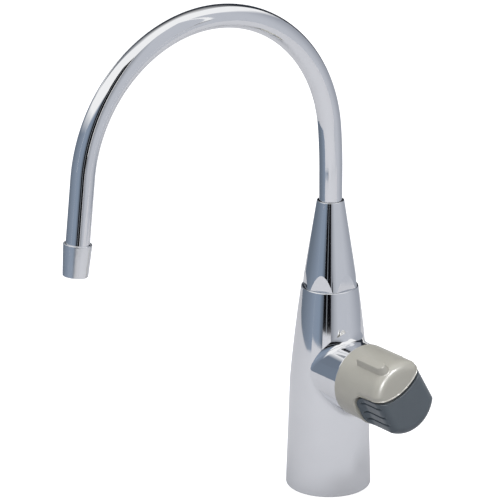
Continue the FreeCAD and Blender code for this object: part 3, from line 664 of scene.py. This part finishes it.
# Finishes: noise scales are in waves per metre, bump heights in metres
CHROME_DARK = (0.82, 0.83, 0.85)
CHROME_LIGHT = (0.88, 0.885, 0.90)
CHROME_TONE_SCALE = 60.0
CHROME_HAZE_SCALE = 240.0
CHROME_WAVE_SCALE = 45.0
CHROME_WAVE = 0.00001
CHROME_WAVE_STRENGTH = 0.5
TONE_SCALE = 90.0
SHEEN_ROUGH = 0.4


def shader(name):
    """New node material: returns it with its Principled shader, its nodes and a link function."""
    made = bpy.data.materials.new(name)
    made.use_nodes = True
    tree = made.node_tree
    return made, tree.nodes["Principled BSDF"], tree.nodes, tree.links.new


def noise(nodes, link, scale, detail=3.0):
    """Noise on Object coordinates."""
    place = nodes.new("ShaderNodeTexCoord")
    made = nodes.new("ShaderNodeTexNoise")
    made.inputs["Scale"].default_value = scale
    made.inputs["Detail"].default_value = detail
    link(place.outputs["Object"], made.inputs["Vector"])
    return made.outputs["Fac"]


def spread(nodes, link, value, low, high):
    """Maps a 0 to 1 value onto a range."""
    made = nodes.new("ShaderNodeMapRange")
    made.inputs["To Min"].default_value = low
    made.inputs["To Max"].default_value = high
    link(value, made.inputs["Value"])
    return made.outputs["Result"]


def bump(nodes, link, bsdf, value, height, strength=1.0):
    """Adds a bump of this height to a shader."""
    made = nodes.new("ShaderNodeBump")
    made.inputs["Strength"].default_value = strength
    made.inputs["Distance"].default_value = height
    link(value, made.inputs["Height"])
    link(made.outputs["Normal"], bsdf.inputs["Normal"])


def tint(nodes, link, bsdf, value, dark, light):
    """Colour that wanders between two tones."""
    made = nodes.new("ShaderNodeMix")
    made.data_type = "RGBA"
    made.inputs["A"].default_value = dark + (1,)
    made.inputs["B"].default_value = light + (1,)
    link(value, made.inputs["Factor"])
    link(made.outputs["Result"], bsdf.inputs["Base Color"])


def chrome_plate(name, haze):
    """Polished or satin chrome: uneven haze and the slight waviness of buffed castings."""
    made, bsdf, nodes, link = shader(name)
    bsdf.inputs["Metallic"].default_value = 1.0
    tint(nodes, link, bsdf, noise(nodes, link, CHROME_TONE_SCALE), CHROME_DARK, CHROME_LIGHT)
    link(spread(nodes, link, noise(nodes, link, CHROME_HAZE_SCALE), *haze), bsdf.inputs["Roughness"])
    wave = noise(nodes, link, CHROME_WAVE_SCALE, detail=1.0)
    bump(nodes, link, bsdf, wave, CHROME_WAVE, CHROME_WAVE_STRENGTH)
    return made


def grained(name, dark, light, rough, grain, height, metallic=0.0, sheen=0.0):
    """Moulded or turned surface: two close tones, uneven gloss and a fine grain of this scale and height."""
    made, bsdf, nodes, link = shader(name)
    bsdf.inputs["Metallic"].default_value = metallic
    bsdf.inputs["Sheen Weight"].default_value = sheen
    bsdf.inputs["Sheen Roughness"].default_value = SHEEN_ROUGH
    tint(nodes, link, bsdf, noise(nodes, link, TONE_SCALE), dark, light)
    link(spread(nodes, link, noise(nodes, link, grain / 4), *rough), bsdf.inputs["Roughness"])
    bump(nodes, link, bsdf, noise(nodes, link, grain, detail=2.0), height)
    return made


CHROME = chrome_plate("chrome_plate", haze=(0.03, 0.075))
SATIN_CHROME = chrome_plate("satin_chrome", haze=(0.20, 0.25))
KNOB_PLASTIC = grained("warm_grey_plastic", dark=(0.385, 0.375, 0.335), light=(0.43, 0.42, 0.375),
                       rough=(0.28, 0.36), grain=2600.0, height=0.000002)
GRIP_RUBBER = grained("slate_rubber", dark=(0.047, 0.064, 0.081), light=(0.061, 0.081, 0.100),
                      rough=(0.50, 0.60), grain=3200.0, height=0.00002, sheen=0.6)
BRASS = grained("turned_brass", dark=(0.62, 0.45, 0.20), light=(0.72, 0.54, 0.27),
                rough=(0.22, 0.34), grain=1800.0, height=0.000006, metallic=1.0)
STEEL = grained("plain_steel", dark=(0.50, 0.51, 0.52), light=(0.60, 0.61, 0.62),
                rough=(0.25, 0.38), grain=2200.0, height=0.000006, metallic=1.0)
SEAL_RUBBER = grained("black_rubber", dark=(0.018, 0.018, 0.019), light=(0.030, 0.030, 0.031),
                      rough=(0.5, 0.65), grain=2400.0, height=0.00001)
NYLON = grained("white_nylon", dark=(0.74, 0.73, 0.69), light=(0.80, 0.79, 0.76),
                rough=(0.38, 0.5), grain=2000.0, height=0.000008)
CERAMIC = grained("ground_ceramic", dark=(0.80, 0.78, 0.74), light=(0.86, 0.85, 0.81),
                  rough=(0.16, 0.24), grain=3000.0, height=0.000003)

FINISHES = {"chrome": CHROME, "brass": BRASS, "steel": STEEL, "seal_rubber": SEAL_RUBBER, "nylon": NYLON,
            "ceramic": CERAMIC, "grip_rubber": GRIP_RUBBER, "knob_plastic": KNOB_PLASTIC}

# CAD nodes keep their shape and get the finish of their slot
for part in frame["record"]["subparts"]:
    node = frame["nodes"][part["node"]]
    node.data.materials.clear()
    node.data.materials.append(FINISHES[part["material_slot"]])

piece("body_shell", body_sheets(), "tap_body", CHROME, "body")
piece("collar_cone", collar_sheets(), "tap_body", CHROME, "spout_collar", CRISP_LIMIT)
piece("gooseneck_tube", spout_sheets(), "spout", CHROME, "spout_tube")
piece("spout_tip", nozzle_sheets(), "spout", SATIN_CHROME, "nozzle_cap")
knob_shell = piece("knob_shell", knob_cap_sheets(), "handle", KNOB_PLASTIC, "knob_cap")
knob_pad = piece("knob_pad", knob_grip_sheets(), "handle", GRIP_RUBBER, "knob_grip")

# Camera at the photograph's viewing angle, in metres, with the lens in millimetres
CAMERA_AT = Vector((1.3361, -1.0720, 0.7332))
CAMERA_BACK = Vector((0.7384, -0.5924, 0.3223))
CAMERA_RIGHT = Vector((0.6258, 0.7800, 0.0))
CAMERA_UP = Vector((-0.2514, 0.2017, 0.9467))
AIM_RIGHT = -0.02548
AIM_UP = -0.00312
LENS = 226.1
SENSOR = 36.0


def add_camera():
    """Camera aimed at the middle of the photograph's frame."""
    lens = bpy.data.cameras.new("camera")
    lens.sensor_width = SENSOR
    lens.lens = LENS
    camera = bpy.data.objects.new("camera", lens)
    aim = CAMERA_RIGHT * AIM_RIGHT + CAMERA_UP * AIM_UP - CAMERA_BACK
    turn = aim.to_track_quat("-Z", "Y").to_matrix().to_4x4()
    camera.matrix_world = Matrix.Translation(CAMERA_AT) @ turn
    bpy.context.scene.collection.objects.link(camera)
    bpy.context.scene.camera = camera


add_camera()

# Studio, in metres: floor, white surroundings, large cards that the chrome mirrors, and soft lamps
WHITE = (1, 1, 1, 1)
FLOOR_HALF = 4.0
FLOOR_DROP = 0.0003
FLOOR_COLOUR = (0.58, 0.585, 0.615)
FLOOR_ROUGH = 0.9
FLOOR_GLOW = 0.85
MIRRORED_GLOW = 0.03
WORLD_LIGHT = 0.36
CARD_COLS = 49
CARD_FADE = 0.1
VIEW_AZIMUTH = math.atan2(CAMERA_BACK.y, CAMERA_BACK.x)
LAMP_AIM = Vector((0, -0.05, 0.12))


def seen_rays(nodes, link, mirrored=1.0):
    """1 for camera rays, the mirrored share for glossy and transmission rays, 0 for diffuse light."""
    path = nodes.new("ShaderNodeLightPath")
    most = path.outputs["Is Camera Ray"]
    for name in ("Is Glossy Ray", "Is Transmission Ray"):
        share = nodes.new("ShaderNodeMath")
        share.operation = "MULTIPLY_ADD"
        link(path.outputs[name], share.inputs[0])
        share.inputs[1].default_value = mirrored
        link(most, share.inputs[2])
        most = share.outputs["Value"]
    return most


def stage_sheet(name, grid, material):
    """Sheet of the studio from a grid of points."""
    mesh = bpy.data.meshes.new(name)
    faces = rows_of_quads(*grid.shape[:2], False)
    mesh.from_pydata(grid.reshape(-1, 3).tolist(), [], faces.tolist())
    mesh.materials.append(material)
    made = bpy.data.objects.new(name, mesh)
    bpy.context.scene.collection.objects.link(made)
    return made


def add_floor():
    """Large grey floor. Its glow turns it white for the camera and adds little to what the chrome mirrors."""
    made, bsdf, nodes, link = shader("studio_floor")
    bsdf.inputs["Base Color"].default_value = FLOOR_COLOUR + (1,)
    bsdf.inputs["Roughness"].default_value = FLOOR_ROUGH
    bsdf.inputs["Specular IOR Level"].default_value = 0.0
    bsdf.inputs["Emission Color"].default_value = WHITE
    glow = spread(nodes, link, seen_rays(nodes, link, MIRRORED_GLOW / FLOOR_GLOW), 0.0, FLOOR_GLOW)
    link(glow, bsdf.inputs["Emission Strength"])
    x, y = np.meshgrid([-FLOOR_HALF, FLOOR_HALF], [-FLOOR_HALF, FLOOR_HALF])
    stage_sheet("studio_floor", np.stack([x, y, 0 * x - FLOOR_DROP], -1), made)


def add_world():
    """White surroundings for the camera and for reflections, softer white light on the tap."""
    world = bpy.data.worlds.new("studio")
    world.use_nodes = True
    nodes, link = world.node_tree.nodes, world.node_tree.links.new
    back = nodes["Background"]
    back.inputs["Color"].default_value = WHITE
    link(spread(nodes, link, seen_rays(nodes, link), WORLD_LIGHT, 1.0), back.inputs["Strength"])
    bpy.context.scene.world = world


def card_paint():
    """Even glow in the colours of a mesh's glow attribute."""
    made = bpy.data.materials.new("card_paint")
    made.use_nodes = True
    nodes, link = made.node_tree.nodes, made.node_tree.links.new
    nodes.clear()
    tone = nodes.new("ShaderNodeAttribute")
    tone.attribute_name = "glow"
    light = nodes.new("ShaderNodeEmission")
    link(tone.outputs["Color"], light.inputs["Color"])
    out = nodes.new("ShaderNodeOutputMaterial")
    link(light.outputs["Emission"], out.inputs["Surface"])
    return made


def add_card(name, stops, low=0.0, fade=CARD_FADE):
    """Upright curved card round the tap, seen in reflections only. Its distance, top and tone run through
    (degrees from the camera's side, distance, top, tone) stops, and above the top it fades to white."""
    marks, distances, tops, tones = zip(*stops)
    turn = np.linspace(marks[0], marks[-1], CARD_COLS)
    angle = VIEW_AZIMUTH + np.radians(turn)
    radius, top = np.interp(turn, marks, distances), np.interp(turn, marks, tops)
    height = np.stack([low + 0 * top, top, top + fade])
    x, y = radius * np.cos(angle) + 0 * height, radius * np.sin(angle) + 0 * height
    card = stage_sheet(name, np.stack([x, y, height], -1), CARD_PAINT)
    glow = np.ones(height.shape + (4,))
    glow[:2, :, :3] = np.stack([np.interp(turn, marks, channel) for channel in zip(*tones)], -1)
    card.data.attributes.new("glow", "FLOAT_COLOR", "POINT").data.foreach_set("color", glow.ravel())
    card.visible_camera = False
    card.visible_diffuse = False
    card.visible_shadow = False


def add_softbox(name, at, side, power, shine_on=None):
    """Square area lamp aimed at the middle of the tap. It gives soft light, or highlights alone on a group of
    pieces."""
    lamp = bpy.data.lights.new(name, "AREA")
    lamp.shape = "SQUARE"
    lamp.size = side
    lamp.energy = power
    made = bpy.data.objects.new(name, lamp)
    made.location = at
    made.rotation_euler = (LAMP_AIM - Vector(at)).to_track_quat("-Z", "Y").to_euler()
    made.visible_glossy = shine_on is not None
    made.visible_diffuse = shine_on is None
    made.light_linking.receiver_collection = shine_on
    bpy.context.scene.collection.objects.link(made)


add_floor()
add_world()

# Tones of the cards
BLACK = (0.004, 0.004, 0.005)
SLIT = (0.25, 0.27, 0.30)
DARK = (0.03, 0.035, 0.045)
DARK_FADED = (0.30, 0.32, 0.35)
SLATE = (0.264, 0.32, 0.406)
SLATE_FAR = (0.25, 0.31, 0.40)
SLATE_SHADED = (0.225, 0.272, 0.344)
SLATE_DIM = (0.175, 0.21, 0.265)
SLATE_LOW = (0.165, 0.20, 0.25)
SLATE_DEEP = (0.155, 0.188, 0.235)
SLATE_DUSK = (0.144, 0.175, 0.221)
SLATE_EDGE = (0.10, 0.12, 0.15)
PALE = (0.55, 0.57, 0.62)
PALE_SIDE = (0.53, 0.55, 0.60)
PALE_DIM = (0.44, 0.46, 0.50)
PALE_REAR = (0.40, 0.42, 0.47)
PALE_BACK = (0.33, 0.35, 0.40)
PALE_EDGE = (0.23, 0.24, 0.27)

CARD_PAINT = card_paint()
add_card("slate_card", [(-178, 0.70, 0.20, SLATE_DUSK), (-140, 0.55, 0.20, SLATE_DUSK),
                        (-120, 0.47, 0.22, SLATE_DEEP), (-107, 0.46, 0.26, SLATE_LOW),
                        (-74, 0.46, 0.33, SLATE_SHADED), (-57, 0.50, 0.36, SLATE)])
add_card("slate_far", [(-57, 0.6, 0.4, SLATE), (-36, 0.6, 0.5, SLATE_FAR), (-22, 0.6, 0.6, SLATE_EDGE)])
add_card("black_gap", [(-22, 0.79, 1.3, BLACK), (-11.5, 0.79, 1.3, BLACK), (-11, 0.79, 1.3, SLIT),
                       (-9, 0.79, 1.3, SLIT), (-8.5, 0.79, 1.3, BLACK), (5, 0.79, 1.3, BLACK)])
add_card("pale_far", [(5, 0.62, 1.0, PALE_EDGE), (17, 0.62, 1.3, PALE_DIM), (29, 0.62, 1.6, PALE),
                      (64, 0.62, 1.6, PALE)])
add_card("pale_near", [(64, 0.47, 0.9, PALE), (72, 0.39, 0.6, PALE), (80, 0.37, 0.5, PALE_SIDE),
                       (116, 0.37, 0.5, PALE_REAR), (150, 0.40, 0.4, PALE_BACK)])
add_card("dark_back", [(150, 0.9, 0.85, DARK), (205, 0.9, 0.85, DARK), (242, 0.9, 0.7, DARK_FADED)],
         low=0.15, fade=1.5)
add_card("slate_near", [(-124, 0.27, 0.27, SLATE_DEEP), (-94, 0.27, 0.27, SLATE_DIM)], low=0.16, fade=0.06)

# Two of the lamps only put highlights on the knob, so that the chrome doesn't mirror them
KNOB_PIECES = bpy.data.collections.new("knob_pieces")
KNOB_PIECES.objects.link(knob_shell)
KNOB_PIECES.objects.link(knob_pad)
add_softbox("key_light", at=(0.2, -0.85, 1.45), side=0.9, power=10.0)
add_softbox("top_light", at=(0.4, 0.2, 1.7), side=1.1, power=12.0)
add_softbox("fill_light", at=(1.6, 0.9, 1.1), side=1.0, power=4.0)
add_softbox("front_light", at=(1.35, -1.1, 0.75), side=0.6, power=5.0)
add_softbox("low_sparkle", at=(1.27, -0.50, 0.71), side=0.3, power=20.0, shine_on=KNOB_PIECES)
add_softbox("high_sparkle", at=(1.12, 0.12, 1.05), side=0.3, power=24.0, shine_on=KNOB_PIECES)

bpy.context.scene.view_settings.view_transform = "Standard"
